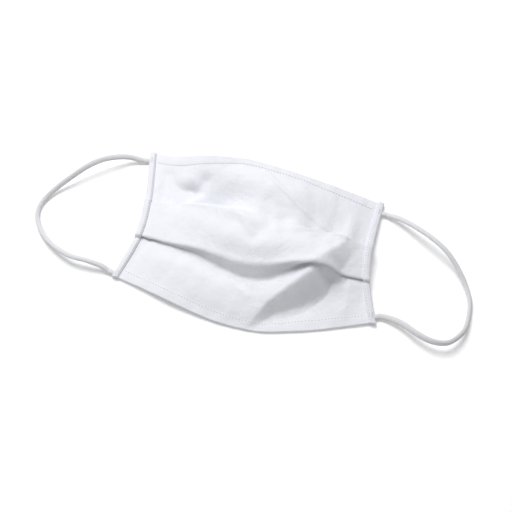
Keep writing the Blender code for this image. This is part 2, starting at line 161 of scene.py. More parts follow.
def read_table(rows, columns, at):
    """The table's row at a place between its rows, on a smooth curve through each column."""
    places = [row[0] for row in rows]
    k = min(max(int(np.searchsorted(places, at)) - 1, 0), len(rows) - 2)
    values = np.array([rows[min(max(k + i, 0), len(rows) - 1)] for i in (-1, 0, 1, 2)], float)
    width = values[2, 0] - values[1, 0]
    slope_in = (values[2] - values[0]) / (values[2, 0] - values[0, 0]) * width
    slope_out = (values[3] - values[1]) / (values[3, 0] - values[1, 0]) * width
    t = (at - values[1, 0]) / width
    read = (
        (2 * t**3 - 3 * t**2 + 1) * values[1]
        + (t**3 - 2 * t**2 + t) * slope_in
        + (3 * t**2 - 2 * t**3) * values[2]
        + (t**3 - t**2) * slope_out
    )
    return dict(zip(columns, read))


SIDE_STEPS = np.linspace(0, 1, 201)
SIDE_LINES = {
    side: np.array([read_table(SIDES, SIDE_COLUMNS, up)[side] for up in SIDE_STEPS]) * MASK_WIDTH
    for side in ("left", "right")
}


def side_x(side, up):
    """X of the outer edge of a side, at a share of the way up it."""
    return np.interp(up, SIDE_STEPS, SIDE_LINES[side])


print("tables read:", len(SECTIONS), "cuts,", len(SIDES), "places down each side")

# %% [markdown]
# ## Ear loops
# Each ear loop is a flat soft elastic, knitted with fine ribs along its length. It leaves the side strip
# near one corner, arches over the table and comes back near the other corner. A curve with a round bevel
# would give a plastic tube, so the loop is a grid instead: one way runs round the elastic and the other
# way along it. The grid is wrapped round a smooth line through a few chosen points, and its section is an
# oval with shallow ribs. The cord's real length is measured on that line.

# %% Ear loop routes
LEFT_ROUTE = (
    (0.0130, 0.0500, 0.0050),
    (0.0215, 0.0460, 0.0080),
    (0.0300, 0.0405, 0.0095),
    (0.0385, 0.0330, 0.0090),
    (0.0475, 0.0235, 0.0062),
    (0.0555, 0.0140, 0.0034),
    (0.0606, 0.0040, 0.0020),
    (0.0611, -0.0055, 0.0020),
    (0.0570, -0.0145, 0.0020),
    (0.0460, -0.0260, 0.0035),
    (0.0300, -0.0340, 0.0060),
    (0.0165, -0.0355, 0.0062),
    (0.0072, -0.0360, 0.0042),
)
RIGHT_ROUTE = (
    (0.0050, 0.0415, 0.0055),
    (0.0180, 0.0340, 0.0090),
    (0.0300, 0.0265, 0.0100),
    (0.0388, 0.0200, 0.0085),
    (0.0465, 0.0120, 0.0052),
    (0.0525, 0.0030, 0.0026),
    (0.0565, -0.0075, 0.0020),
    (0.0570, -0.0185, 0.0024),
    (0.0554, -0.0290, 0.0042),
    (0.0510, -0.0370, 0.0060),
    (0.0450, -0.0422, 0.0070),
    (0.0362, -0.0430, 0.0074),
    (0.0272, -0.0398, 0.0068),
    (0.0178, -0.0345, 0.0052),
    (0.0098, -0.0315, 0.0034),
)
# Where the loops leave the sides, as shares of the side from its lower corner
LOOP_ENDS = {"left": (0.935, 0.030), "right": (0.913, 0.057)}
# Y of each side's lower and upper corner
SIDE_ENDS = {
    "left": (SECTIONS[0][-2] * SIDE_HEIGHT, SECTIONS[0][1] * SIDE_HEIGHT),
    "right": (SECTIONS[-1][-2] * SIDE_HEIGHT, SECTIONS[-1][1] * SIDE_HEIGHT),
}
# How far apart the points of a loop's line are, and the finer steps that it is first walked in
LOOP_STEP = 0.0008
FINE_SHARES = np.arange(0, 1, 0.05)


def smooth_route(points, step):
    """Points about step apart on a smooth curve through the route."""
    points = np.array(points, float)
    padded = np.vstack([2 * points[0] - points[1], points, 2 * points[-1] - points[-2]])
    fine = []
    for before, start, end, after in zip(padded, padded[1:], padded[2:], padded[3:]):
        for t in FINE_SHARES:
            bend = (2 * before - 5 * start + 4 * end - after) * t**2
            bend = bend + (3 * start - before - 3 * end + after) * t**3
            fine.append(0.5 * (2 * start + (end - before) * t + bend))
    fine = np.array(fine + [points[-1]])
    along = np.concatenate([[0], np.cumsum(np.linalg.norm(np.diff(fine, axis=0), axis=1))])
    places = np.linspace(0, along[-1], round(along[-1] / step) + 1)
    return np.stack([np.interp(places, along, fine[:, k]) for k in range(3)], axis=1), along[-1]


def loop_end(side, up):
    """Two points of a loop square to the strip's outer face: on the face, and one width outwards."""
    low, high = SIDE_ENDS[side]
    nearby = 0.01
    slope = (side_x(side, up + nearby) - side_x(side, up - nearby)) / (2 * nearby * (high - low))
    way = unit(np.array([1.0, -slope, 0.0]) * OUTWARDS[side])
    start = np.array([side_x(side, up), low + up * (high - low), LOOP_WIDTH / 2])
    return start + way * 1.5 * PIECE_GAP, start + way * LOOP_WIDTH


def loop_line(side, route):
    """A loop's middle line from strip to strip, and its length."""
    edge = OUTWARDS[side] * MASK_WIDTH / 2
    upper, lower = (loop_end(side, up) for up in LOOP_ENDS[side])
    middle = [(edge + OUTWARDS[side] * out, y, max(z, LOOP_WIDTH / 2)) for out, y, z in route]
    line, length = smooth_route([*upper, *middle, *reversed(lower)], LOOP_STEP)
    line[:, 2] = np.maximum(line[:, 2], LOOP_WIDTH / 2)
    return line, length


for side, route in (("left", LEFT_ROUTE), ("right", RIGHT_ROUTE)):
    print(side, "loop's line", round(loop_line(side, route)[1], 4), "m")

# %% [markdown]
# ## Materials
# Woven cotton, knitted elastic and sewing thread cover the mask. All of them are matt and nearly white,
# except for painted shade: the thread is grey for the dimples of its stitches, and the elastic darker in
# its grooves. Otherwise what tells them apart is fine relief. It is made by Bump nodes and not by geometry,
# because a thread of the weave is a fifth of a millimetre wide.

# %% Shader tools
SPECULAR = 0.25
SHEEN_ROUGHNESS = 0.5
# Where a colour Mix node has its factor, its two colours and its result
MIX_FACTOR, MIX_LOW, MIX_HIGH, MIX_RESULT = 0, 6, 7, 2


def material(name, colour, roughness, sheen):
    made = bpy.data.materials.new(name)
    made.use_nodes = True
    shader = made.node_tree.nodes["Principled BSDF"]
    shader.inputs["Base Color"].default_value = (*colour, 1.0)
    shader.inputs["Roughness"].default_value = roughness
    shader.inputs["Specular IOR Level"].default_value = SPECULAR
    shader.inputs["Sheen Weight"].default_value = sheen
    shader.inputs["Sheen Roughness"].default_value = SHEEN_ROUGHNESS
    return made, made.node_tree, shader


def node(tree, kind, links=(), **values):
    """A new node with its settings, and links from (output socket, input name) pairs."""
    made = tree.nodes.new(kind)
    for name, value in values.items():
        if hasattr(made, name):
            setattr(made, name, value)
        else:
            made.inputs[name.replace("_", " ")].default_value = value
    for socket, name in links:
        tree.links.new(socket, made.inputs[name])
    return made


def math_node(tree, operation, *inputs):
    made = tree.nodes.new("ShaderNodeMath")
    made.operation = operation
    for k, value in enumerate(inputs):
        if isinstance(value, (int, float)):
            made.inputs[k].default_value = value
        else:
            tree.links.new(value, made.inputs[k])
    return made.outputs[0]


def bump(tree, shader, heights):
    """Chains Bump nodes for (height socket, distance in metres) pairs into the shader's normal."""
    before = None
    for height, distance in heights:
        made = node(tree, "ShaderNodeBump", [(height, "Height")], Strength=1.0, Distance=distance)
        if before is not None:
            tree.links.new(before, made.inputs["Normal"])
        before = made.outputs["Normal"]
    tree.links.new(before, shader.inputs["Normal"])


def tinted(tree, shader, factor, low, high):
    """The base colour goes from low to high with a 0 to 1 factor."""
    mix = node(tree, "ShaderNodeMix", data_type="RGBA")
    tree.links.new(factor, mix.inputs[MIX_FACTOR])
    mix.inputs[MIX_LOW].default_value = (*low, 1.0)
    mix.inputs[MIX_HIGH].default_value = (*high, 1.0)
    tree.links.new(mix.outputs[MIX_RESULT], shader.inputs["Base Color"])


def piece_map(tree):
    """A piece's UV map in metres: the whole vector, and its two parts."""
    uv = node(tree, "ShaderNodeUVMap", uv_map="UVMap").outputs["UV"]
    parts = node(tree, "ShaderNodeSeparateXYZ", [(uv, "Vector")])
    return uv, parts.outputs["X"], parts.outputs["Y"]


def wave(tree, distance, pitch):
    """A wave from -1 to 1 along a distance, one turn to a pitch."""
    return math_node(tree, "SINE", math_node(tree, "MULTIPLY", distance, 2 * math.pi / pitch))


def noise(tree, place, settings):
    return node(tree, "ShaderNodeTexNoise", [(place, "Vector")], **settings).outputs["Fac"]


print("every finish has specular", SPECULAR, "and sheen roughness", SHEEN_ROUGHNESS)

# %% [markdown]
# ## Cotton, elastic and thread
# The cotton has a plain weave, worked out from the cloth's own UV map in metres so that it follows every
# fold. Noise at three scales adds thick threads, soft crumples and a slight unevenness of colour, as
# washed cotton has. The elastic has ribs along its length, with painted shade darkening the grooves between
# them, and a fine knit across. The thread has a twist, and its grey colour is painted shade.

# %% Cotton
COTTON_COLOUR = (0.815, 0.825, 0.865)
STRIP_COLOUR = (0.785, 0.795, 0.835)
COTTON_ROUGHNESS = 0.92
COTTON_SHEEN = 0.12
WEAVE_PITCH = 0.00042
WEAVE_RELIEF = 0.00003
SLUB = {"Scale": 900.0, "Detail": 2.0}
SLUB_RELIEF = 0.00010
CRUMPLE = {"Scale": 160.0, "Detail": 3.0, "Roughness": 0.55}
CRUMPLE_RELIEF = 0.00065
MOTTLE = {"Scale": 60.0, "Detail": 4.0}
MOTTLE_SHADE = 0.975


def cotton_material(name, colour):
    made, tree, shader = material(name, colour, COTTON_ROUGHNESS, COTTON_SHEEN)
    uv, u, v = piece_map(tree)
    weave = math_node(tree, "MULTIPLY", wave(tree, u, WEAVE_PITCH), wave(tree, v, WEAVE_PITCH))
    slub = noise(tree, uv, SLUB)
    crumple = noise(tree, uv, CRUMPLE)
    bump(tree, shader, ((weave, WEAVE_RELIEF), (slub, SLUB_RELIEF), (crumple, CRUMPLE_RELIEF)))
    darker = tuple(value * MOTTLE_SHADE for value in colour)
    tinted(tree, shader, noise(tree, uv, MOTTLE), darker, colour)
    return made


COTTON = cotton_material("White cotton", COTTON_COLOUR)
STRIP_COTTON = cotton_material("White cotton strip", STRIP_COLOUR)
print("materials", COTTON.name, "and", STRIP_COTTON.name)

# %% Elastic and thread
ELASTIC_COLOUR = (0.79, 0.79, 0.805)
# Painted shade: the elastic's colour down in the grooves between its ribs
ELASTIC_GROOVE_SHADE = (0.72, 0.72, 0.735)
ELASTIC_ROUGHNESS = 0.75
ELASTIC_SHEEN = 0.15
RIB_PITCH = 0.00055
RIB_RELIEF = 0.00005
KNIT_PITCH = 0.0007
KNIT_RELIEF = 0.00002
FUZZ = {"Scale": 1500.0, "Detail": 2.0}
FUZZ_RELIEF = 0.00008
# Painted shade: the thread is grey, not white, for the shade of the dimples that its stitches pull in
THREAD_PUCKER_SHADE_COLOUR = (0.58, 0.585, 0.61)
THREAD_ROUGHNESS = 0.6
TWIST_SCALE = 900.0
TWIST_RELIEF = 0.00004


def elastic_material():
    made, tree, shader = material("Knitted elastic, painted groove shade", ELASTIC_COLOUR, ELASTIC_ROUGHNESS, ELASTIC_SHEEN)
    uv, u, v = piece_map(tree)
    ribs = wave(tree, u, RIB_PITCH)
    knit = wave(tree, v, KNIT_PITCH)
    bump(tree, shader, ((ribs, RIB_RELIEF), (knit, KNIT_RELIEF), (noise(tree, uv, FUZZ), FUZZ_RELIEF)))
    # Painted shade: the colour darkens with the ribs' relief, down into each groove
    tinted(tree, shader, math_node(tree, "MULTIPLY_ADD", ribs, 0.5, 0.5), ELASTIC_GROOVE_SHADE, ELASTIC_COLOUR)
    return made


def thread_material():
    made, tree, shader = material("Sewing thread, painted pucker shade", THREAD_PUCKER_SHADE_COLOUR, THREAD_ROUGHNESS, 0.0)
    place = node(tree, "ShaderNodeTexCoord").outputs["Object"]
    twist = node(tree, "ShaderNodeTexWave", [(place, "Vector")], Scale=TWIST_SCALE, Distortion=1.0)
    bump(tree, shader, ((twist.outputs["Fac"], TWIST_RELIEF),))
    return made


ELASTIC = elastic_material()
THREAD = thread_material()
print("materials", ELASTIC.name, "and", THREAD.name)

# %% [markdown]
# ## From a grid to a sheet
# Cloth, strips and elastic all start as a plain grid, made by one operator with its UV map. Each vertex
# then moves to its place on the folded piece, and each UV is set to the distance along the cloth in
# metres. The grid keeps its order, so places in the tables and vertices in the mesh are easy to match.

# %% Grid pieces
# Vertices nearer than this become one, where a tube's two long sides meet
SEAM_DISTANCE = 1e-7


def finished_piece(form, name, finish):
    """An object with one finish, made from a bmesh."""
    mesh = bpy.data.meshes.new(name)
    form.to_mesh(mesh)
    form.free()
    mesh.materials.append(finish)
    item = bpy.data.objects.new(name, mesh)
    bpy.context.scene.collection.objects.link(item)
    return item


def grid_piece(name, points, across, along, finish, around=False):
    """A sheet through a rows-by-columns array of points. around joins the two long sides to a tube."""
    rows, columns = points.shape[:2]
    sheet = bmesh.new()
    bmesh.ops.create_grid(sheet, x_segments=columns - 1, y_segments=rows - 1, size=1.0, calc_uvs=True)
    sheet.verts.ensure_lookup_table()
    for vertex, place in zip(sheet.verts, points.reshape(-1, 3)):
        vertex.co = place
    map_layer = sheet.loops.layers.uv.verify()
    sheet.verts.index_update()
    for face in sheet.faces:
        face.smooth = True
        for loop in face.loops:
            i, j = divmod(loop.vert.index, columns)
            loop[map_layer].uv = (across[j], along[i])
    if around:
        bmesh.ops.remove_doubles(sheet, verts=sheet.verts, dist=SEAM_DISTANCE)
        bmesh.ops.holes_fill(sheet, edges=[edge for edge in sheet.edges if edge.is_boundary], sides=0)
        bmesh.ops.recalc_face_normals(sheet, faces=sheet.faces)
    item = finished_piece(sheet, name, finish)
    item.data.uv_layers[0].name = "UVMap"
    return item


def distances(line):
    """How far along a line of points each of them is."""
    return np.concatenate([[0], np.cumsum(np.linalg.norm(np.diff(line, axis=0), axis=1))])


print("grid pieces have their UV map in metres")

# %% [markdown]
# ## Two elastic loops
# The ribbed oval is carried along each loop's line. It is turned about its own length on the way, because
# flat elastic that arches over a table shows its face in one place and its edge in another. Both ends
# reach a little into the strips.

# %% Ear loops
RIB_COUNT = 11
RIB_HEIGHT = 0.00009
LOOP_THICKNESS = 0.0027
LOOP_SIDES = 44
# How far the two hidden points at each end reach into the strip, and the least height above the table
HIDDEN_ENDS = np.array((0.0012, 0.0006))[:, None]
TABLE_GAP = 0.00005
# How far the flat elastic is turned about its own length, at places along each loop, in degrees
LOOP_ROLLS = {
    "left": ((0.0, 10), (0.15, 25), (0.35, 62), (0.5, 75), (0.65, 40), (0.85, 25), (1.0, 10)),
    "right": ((0.0, 15), (0.2, 25), (0.4, 35), (0.55, 60), (0.7, 70), (0.85, 35), (1.0, 10)),
}


def ribbed_points(line, rolls):
    """Points round the ribbed oval at every place of a line, and the oval itself."""
    ways = np.gradient(line, axis=0)
    ways /= np.linalg.norm(ways, axis=1)[:, None]
    flat = np.cross(ways, (0.0, 0.0, 1.0))
    flat /= np.linalg.norm(flat, axis=1)[:, None]
    upright = np.cross(flat, ways)
    share = np.linspace(0, 1, len(line))
    roll = np.radians(np.interp(share, *zip(*rolls)))[:, None]
    wide = flat * np.cos(roll) + upright * np.sin(roll)
    thin = upright * np.cos(roll) - flat * np.sin(roll)
    angle = np.linspace(0, 2 * np.pi, LOOP_SIDES + 1)
    rib = 1 + RIB_HEIGHT / LOOP_THICKNESS * 2 * np.cos(RIB_COUNT * angle)
    a = LOOP_WIDTH / 2 * np.cos(angle) * rib
    b = LOOP_THICKNESS / 2 * np.sin(angle) * rib
    points = line[:, None] + wide[:, None] * a[None, :, None] + thin[:, None] * b[None, :, None]
    points[:, -1] = points[:, 0]
    lowest = points[:, :, 2].min(axis=1)
    points[:, :, 2] += np.maximum(TABLE_GAP - lowest, 0)[:, None]
    return points, np.stack([a, b], axis=1)


def make_loop(side, route):
    line, length = loop_line(side, route)
    first = line[0] + unit(line[0] - line[1]) * HIDDEN_ENDS
    last = line[-1] + unit(line[-1] - line[-2]) * HIDDEN_ENDS[::-1]
    line = np.vstack([first, line, last])
    points, oval = ribbed_points(line, LOOP_ROLLS[side])
    name = "elastic_loop_" + side
    item = grid_piece(name, points, distances(oval), distances(line), ELASTIC, around=True)
    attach(item, "root")
    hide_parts("ear_loop_" + side)
    print(item.name, "is", round(length, 4), "m long, in", len(item.data.polygons), "faces")
    return item


make_loop("left", LEFT_ROUTE)
make_loop("right", RIGHT_ROUTE)

# %% [markdown]
# ## The folded cloth
# Going from the top hem to the bottom hem, the cloth runs down under the centre panel, turns back up,
# forms the centre panel, and turns under again before the lower panel. At the sides the three layers lie
# on each other. In the middle the two returns swing out and hang, which makes the dome. Each column of
# the grid is one such cut, read from the table. A simulation would find its own folds, and here the folds
# must be where the photograph has them.

# %% Folds and flanks
UPPER_FOLD_ROUND = 0.0040
LOWER_FOLD_ROUND = 0.0021
FOLD_LEAN = 0.15
FOLD_REACH = 0.42
BULGES = {"upper": 0.0030, "centre": 0.0020, "lower": 0.0015}
PANEL_ROWS = {"upper": 66, "centre": 42, "lower": 60}
RETURN_ROWS = 9
BEND_ROWS = 8

# The dome's right flank, as a line of places where it breaks away from the crown: X and width as shares
# of MASK_WIDTH, Y as a share of SIDE_HEIGHT, and the share of the crown's height that is left at its
# foot. The lower panel has its own, steeper one, which makes the deep fold by the chin.
CENTRE_FLANK = (
    (0.150, -0.421, 0.128, 0.02),
    (0.236, -0.145, 0.210, 0.22),
    (0.290, -0.019, 0.088, 0.31),
    (0.334, 0.111, 0.070, 0.58),
    (0.372, 0.316, 0.080, 0.76),
)
LOWER_FLANK = (
    (0.041, -0.632, 0.029, 0.0),
    (0.058, -0.561, 0.037, 0.0),
    (0.103, -0.421, 0.060, 0.0),
    (0.169, -0.300, 0.094, 0.0),
    (0.233, -0.186, 0.118, 0.0),
    (0.258, -0.053, 0.118, 0.0),
)
# How much higher the lower panel's right end lies, close under the fold: places along X, and heights there
APRON = ((0.035, 0.0), (0.050, 0.0040), (0.058, 0.0055), (0.066, 0.0058), (0.0755, 0.0020))
# Where along X the lower return starts to leave the chin's flank, and where it has left it
APRON_START = (0.035, 0.050)
# How far the lower panel hugs the fold above it, in metres from the fold: on the left and on the right
HUG = (0.011, 0.0060)
print("flanks with", len(CENTRE_FLANK), "and", len(LOWER_FLANK), "places")

# %% [markdown]
# ## How the dome falls
# A flank is a line on the table's plane. On its left the cloth keeps the dome's height. On its right the
# height falls off along one section: first steeply, then gently, down to the share that is left at the
# foot.

# %% Falling past a line
# A fall's section, over shares of the flank's width: where it starts and ends, and how softly it changes
FALL_STEPS = np.linspace(-0.5, 1.6, 400)
FALL_START, FALL_START_SOFT = -0.08, 0.20
FALL_END, FALL_SOFT = 0.90, 0.30


def near_line(line, x, y):
    """For each place: how far right of a line it is, and the line's other values at the nearest point."""
    place = np.stack([np.asarray(x, float), np.asarray(y, float)], axis=-1)
    best = np.full(place.shape[:-1], np.inf)
    side = np.ones(place.shape[:-1])
    values = np.zeros(place.shape[:-1] + (line.shape[1] - 2,))
    for a, b in zip(line, line[1:]):
        way = b[:2] - a[:2]
        t = np.clip(((place - a[:2]) @ way) / (way @ way), 0, 1)
        away = place - (a[:2] + t[..., None] * way)
        gap = np.linalg.norm(away, axis=-1)
        turn = way[0] * away[..., 1] - way[1] * away[..., 0]
        nearer = gap < best - 1e-9
        best = np.where(nearer, gap, best)
        side = np.where(nearer, np.where(turn > 0, -1.0, 1.0), side)
        read = a[2:] + t[..., None] * (b[2:] - a[2:])
        values = np.where(nearer[..., None], read, values)
    return best * side, values


def fall_line(steep_end, gentle):
    """A flank's section: steep up to a share of its width, then gentle, down to its foot."""
    slope = smooth_step((FALL_STEPS - FALL_START) / FALL_START_SOFT)
    slope = slope * (1 - (1 - gentle) * smooth_step((FALL_STEPS - steep_end) / FALL_SOFT))
    slope = slope * (1 - smooth_step((FALL_STEPS - FALL_END) / FALL_SOFT))
    return 1 - np.cumsum(slope) / slope.sum()


CENTRE_FALL = fall_line(0.56, 0.25)
LOWER_FALL = fall_line(0.54, 0.28)


def flank_share(flank, fall, x, y):
    """1 on the dome, falling past the flank's edge to the share left at its foot."""
    line = np.array(flank) * (MASK_WIDTH, SIDE_HEIGHT, MASK_WIDTH, 1.0)
    away, values = near_line(line, x, y)
    width, foot = values[..., 0], values[..., 1]
    return foot + (1 - foot) * np.interp(away / width, FALL_STEPS, fall)


chin_share = float(flank_share(LOWER_FLANK, LOWER_FALL, 0.03, -0.02))
print("share of the dome left over the chin", round(chin_share, 3))

# %% [markdown]
# ## The corners of a cut
# A cut has six corners: the top hem, the end of the return that hangs from the upper fold, the two folds
# of the centre panel, the end of the lower return, and the bottom hem. At the sides the layers lie on
# each other, and a fold's corner is halfway between the two layers that it joins. In the middle each
# return swings out from its fold, and hangs by its depth.

# %% Corners
OUTER_LAYER, RETURN_END_LAYER, FOLD_LAYER = 1, 1.5, 2.5


def level(layer):
    """Height of the middle of a layer of cloth at the sides, counted from the lowest."""
    return STRIP_WALL + PIECE_GAP + CLOTH_WALL / 2 + (layer - 1) * LAYER_PITCH


def place_x(across, under, y, low, high):
    up = (y - low) / (high - low)
    left = side_x("left", up) + STRIP_WIDTH + PIECE_GAP
    right = side_x("right", up) - STRIP_WIDTH - PIECE_GAP
    return left + across * (right - left) + under


def hang(fold, way, opening, depth):
    """Where a return that has swung out from a fold ends: its Y, and how far it is below the fold."""
    drop = depth * math.sin(opening) + LAYER_PITCH * max(math.cos(opening), 0.0)
    return fold + way * depth * math.cos(opening), drop


def cut_corners(across):
    """A cut's six corners as (Y, height), and the facts that its panels are filled from."""
    row = read_table(SECTIONS, SECTION_COLUMNS, across)
    openings = [math.radians(row["upper_open"]), math.radians(row["lower_open"])]
    half_panel = row["panel"] * PANEL_HEIGHT / 2
    middle = row["middle"] * SIDE_HEIGHT
    high, low = row["top"] * SIDE_HEIGHT, row["bottom"] * SIDE_HEIGHT
    folds = np.array([middle + half_panel, middle - half_panel])
    lifts = np.array([row["upper_lift"], row["lower_lift"]]) * CROWN_HEIGHT

    def kept(y):
        return flank_share(CENTRE_FLANK, CENTRE_FALL, place_x(across, 0.0, y, low, high), y)

    def crown(y):
        """The centre panel's height at a place on it."""
        return float(level(FOLD_LAYER) + np.interp(y, folds[::-1], lifts[::-1]) * kept(y))

    held = kept(folds)
    heights = level(FOLD_LAYER) + lifts * held
    y, drop = hang(folds[0], -1, openings[0], PLEAT_DEPTH * row["upper_depth"])
    upper_end = (y, max(min(heights[0], crown(y)) - drop, level(RETURN_END_LAYER)))
    y, drop = hang(folds[1], 1, openings[1], PLEAT_DEPTH * row["lower_depth"])
    chin_lift = max(level(FOLD_LAYER) + lifts[1] - drop - level(OUTER_LAYER), 0.0)
    x = float(place_x(across, 0.0, y, low, high))
    right = float(smooth_step((x - APRON_START[0]) / (APRON_START[1] - APRON_START[0])))
    free = min(heights[1], crown(y)) - drop
    chin = level(OUTER_LAYER) + chin_lift * float(flank_share(LOWER_FLANK, LOWER_FALL, x, y))
    chin = min(crown(y) - drop, chin)
    lower_end = (y, max(chin + right * (free - chin), level(RETURN_END_LAYER)))
    top = (high, level(OUTER_LAYER) + row["top_lift"] * CROWN_HEIGHT)
    bottom = (low, level(OUTER_LAYER) + row["bottom_lift"] * CROWN_HEIGHT)
    corners = [top, upper_end, (folds[0], heights[0]), (folds[1], heights[1]), lower_end, bottom]
    facts = {"low": low, "high": high, "openings": openings, "lifts": lifts, "held": held}
    facts.update(chin_lift=chin_lift, chin_hold=row["chin_hold"], right=right)
    return [np.array(corner) for corner in corners], facts


print("corners of the middle cut", [[round(float(v), 4) for v in corner] for corner in cut_corners(0.5)[0]])

# %% [markdown]
# ## Round folds and full panels
# Cloth doesn't crease to a line, so every corner is cut back on both sides and a short curve joins the
# panels. The rounds are small where the layers lie flat and full where the pleat stands open. Then rows
# of points fill the panels. The centre panel and the lower panel fall with their flanks, row by row.

# %% Rounds and panels
def round_folds(corners, openings):
    """Where each of the five panels starts and ends, once the corners between them are cut back."""
    ways = [unit(b - a) for a, b in zip(corners, corners[1:])]
    lengths = [np.linalg.norm(b - a) for a, b in zip(corners, corners[1:])]
    rounds = (UPPER_FOLD_ROUND, UPPER_FOLD_ROUND, LOWER_FOLD_ROUND, LOWER_FOLD_ROUND)
    starts, ends = [corners[0]], []
    for k, (full, lean) in enumerate(zip(rounds, (1, 1, -1, -1))):
        half = LAYER_PITCH / 2 + (full - LAYER_PITCH / 2) * math.sin(openings[k // 2] / 2) ** 2
        half = min(half, FOLD_REACH * min(lengths[k], lengths[k + 1]))
        chord = unit(ways[k] + ways[k + 1] + np.array([0.0, FOLD_LEAN * lean]))
        ends.append(corners[k + 1] - half * chord)
        starts.append(corners[k + 1] + half * chord)
    return starts, ends + [corners[-1]]


def bend(start, start_way, end, end_way):
    """Points strictly between two panels, round the fold that joins them."""
    handle = np.linalg.norm(end - start) * (1 + (1 - float(start_way @ end_way)) / 2) / 3
    a, b = start + start_way * handle, end - end_way * handle
    t = (np.arange(BEND_ROWS) + 1)[:, None] / (BEND_ROWS + 1)
    return (1 - t) ** 3 * start + 3 * (1 - t) ** 2 * t * a + 3 * (1 - t) * t**2 * b + t**3 * end


def centre_heights(part, s, x, facts):
    """The centre panel's rows, which fall with the dome's right flank."""
    upper, lower = facts["lifts"]
    upper_held, lower_held = facts["lifts"] * facts["held"]
    full = upper + s * (lower - upper)
    straight = upper_held + s * (lower_held - upper_held)
    return part[:, 1] + (full * flank_share(CENTRE_FLANK, CENTRE_FALL, x, part[:, 0]) - straight)


def lower_heights(part, s, x, bulge, facts):
    """The lower panel's rows, which fall with the chin's flank, lie on the apron and hug the fold above."""
    drop = part[0, 1] - part[-1, 1]
    held_up = 1 - s ** (1 + 2 * facts["chin_hold"])
    share = flank_share(LOWER_FLANK, LOWER_FALL, x, part[:, 0])
    domed = (max(facts["chin_lift"], drop) * held_up + bulge) * share
    fallen = part[-1, 1] + np.maximum(domed, np.interp(x, *zip(*APRON)) * (1 - s))
    reach = (HUG[0] + facts["right"] * (HUG[1] - HUG[0])) / np.linalg.norm(part[-1] - part[0])
    return fallen + (part[0, 1] - fallen[0]) * (1 - smooth_step(s / reach))


print("a fold is rounded over", UPPER_FOLD_ROUND, "m at the top and", LOWER_FOLD_ROUND, "m at the bottom")

# %% Cuts through the pleat
def cut(across, under):
    """One cut from hem to hem: its points, and for each row its panel and its share along the panel."""
    corners, facts = cut_corners(across)
    starts, ends = round_folds(corners, facts["openings"])
    swell = math.sin(math.pi * min(max(across, 0.0), 1.0)) ** 2
    line, panels, shares = [], [], []
    for k, name in enumerate(("upper", "return", "centre", "return", "lower")):
        start, end = starts[k], ends[k]
        s = np.linspace(0, 1, PANEL_ROWS.get(name, RETURN_ROWS))
        way = unit(end - start)
        bulge = BULGES.get(name, 0.0) * swell * np.sin(np.pi * s) ** 2
        part = start + s[:, None] * (end - start) + np.array([way[1], -way[0]]) * bulge[:, None]
        x = place_x(across, 0.0, part[:, 0], facts["low"], facts["high"])
        if name == "centre":
            part[:, 1] = centre_heights(part, s, x, facts)
        if name == "lower":
            part[:, 1] = lower_heights(part, s, x, bulge, facts)
        line.append(part)
        panels += [name] * len(s)
        shares += list(s)
        if k + 1 < len(starts):
            line.append(bend(end, way, starts[k + 1], unit(ends[k + 1] - starts[k + 1])))
            panels += ["bend"] * BEND_ROWS
            shares += [0.0] * BEND_ROWS
    line = np.vstack(line)
    x = place_x(across, under, line[:, 0], facts["low"], facts["high"])
    return np.column_stack([x, line]), panels, shares


sample = cut(0.5, 0.0)[0]
print("the middle cut is", round(float(distances(sample)[-1]), 4), "m of cloth,", len(sample), "rows")

# %% [markdown]
# ## Dents and small folds
# Cotton that has been folded in a packet keeps dents. Each dent or ridge here is a short line on the
# table's plane with a half width and a height, and pushes the cloth up or down like a finger drawn along
# that line would. A few slow waves on top keep the panels from looking ironed. All of it fades out
# towards the stitched sides.

# %% Dents, ridges and waves
RIDGE_LINE = (
    *((-0.0507, 0.0198), (-0.0397, 0.0200), (-0.0307, 0.0195), (-0.0210, 0.0184), (-0.0126, 0.0142)),
    *((-0.0074, 0.0075), (-0.0011, 0.0003)),
)
CREASE_LINE = ((0.0574, 0.0131), (0.0408, 0.0194), (0.0262, 0.0264), (0.0105, 0.0377), (-0.0040, 0.0488))
DENT_LINE = ((-0.0704, 0.0425), (-0.0671, 0.0357), (-0.0597, 0.0317), (-0.0506, 0.0319))
DENTS = (
    # on which panels, half width, height, and the line's places
    ("all", 0.0085, -0.0032, ((-0.0670, 0.0300), (-0.0560, 0.0275))),
    ("all", 0.0048, -0.0022, DENT_LINE),
    ("all", 0.0050, -0.0032, ((-0.0506, 0.0319), (-0.0442, 0.0340), (-0.0425, 0.0400))),
    ("all", 0.0026, 0.0009, RIDGE_LINE),
    ("all", 0.0060, -0.0018, ((0.0042, 0.0146), (0.0100, 0.0097), (0.0176, 0.0073))),
    ("all", 0.0015, 0.0010, CREASE_LINE),
    ("all", 0.0050, -0.0008, ((0.0500, 0.0070), (0.0360, 0.0130), (0.0210, 0.0190), (0.0060, 0.0290))),
    ("all", 0.0060, -0.0018, ((0.0002, -0.0031), (0.0044, 0.0040), (0.0095, 0.0104), (0.0170, 0.0144))),
    ("lower", 0.0030, 0.0008, ((-0.0060, -0.0300), (0.0040, -0.0380))),
)
WAVES = (
    # length, direction in degrees, phase, height
    (0.034, 25, 0.3, 0.00014),
    (0.027, 110, 1.9, 0.00013),
    (0.019, 68, 4.1, 0.00009),
    (0.014, 155, 2.6, 0.00008),
    (0.010, 15, 5.0, 0.00006),
)
# The shares of the cloth's width, and of the lower panel for its own dents, over which they fade in
DENT_FADE = 0.07
LOWER_DENT_FADE = 0.25


